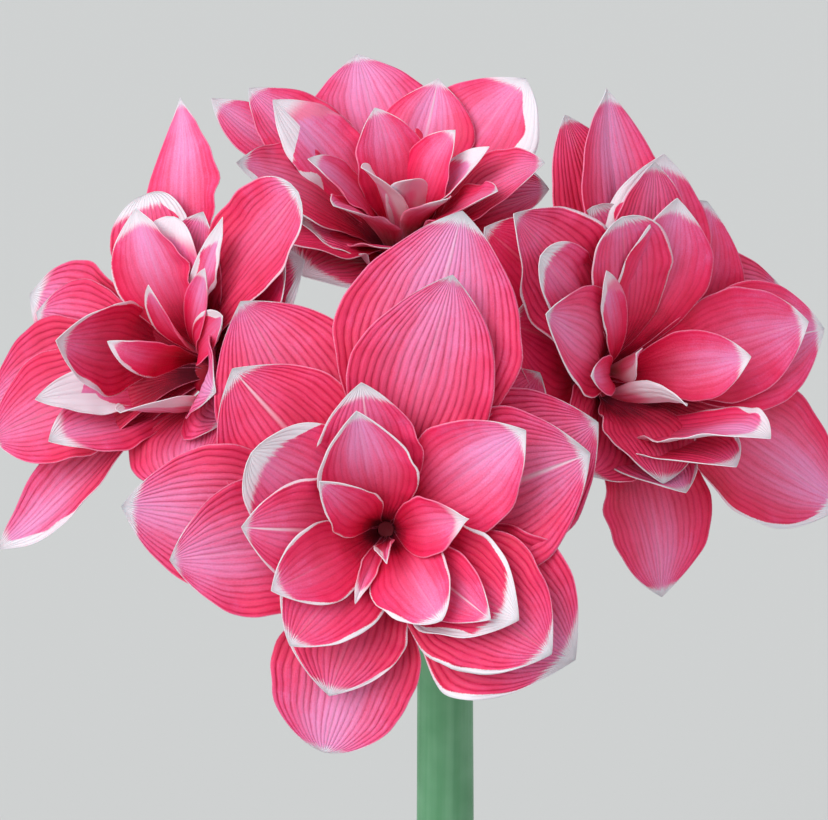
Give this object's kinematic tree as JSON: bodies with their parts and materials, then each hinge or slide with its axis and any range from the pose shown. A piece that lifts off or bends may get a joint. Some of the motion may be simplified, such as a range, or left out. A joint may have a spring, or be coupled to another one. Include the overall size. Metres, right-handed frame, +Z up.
{
  "type": "potted amaryllis",
  "caption": "Potted amaryllis in flower: an umbel of double red-pink blooms with white petal edges on a thick green scape, rising from a bulb in a plain clay pot.",
  "frame": {"origin": "middle of the flat underside of the pot", "axes": "+Z up along the scape, and the flower head faces -Y"},
  "size_m": [0.3433, 0.2274, 0.7187],
  "materials": {
    "clay": "matte",
    "soil": "matte",
    "bulb_tunic": "satin",
    "stem": "satin",
    "leaf": "satin",
    "bract": "matte",
    "petal": "satin"
  },
  "bodies": {
    "root": {"pot": "clay", "soil": "soil", "bulb": "bulb_tunic", "scape": "stem", "leaf_left": "leaf", "leaf_right": "leaf", "leaf_back": "leaf", "bract_left": "bract", "bract_right": "bract", "stalk_front": "stem", "stalk_left": "stem", "stalk_right": "stem", "stalk_back": "stem", "bloom_front": "petal", "bloom_left": "petal", "bloom_right": "petal", "bloom_back": "petal"}
  },
  "joints": []
}
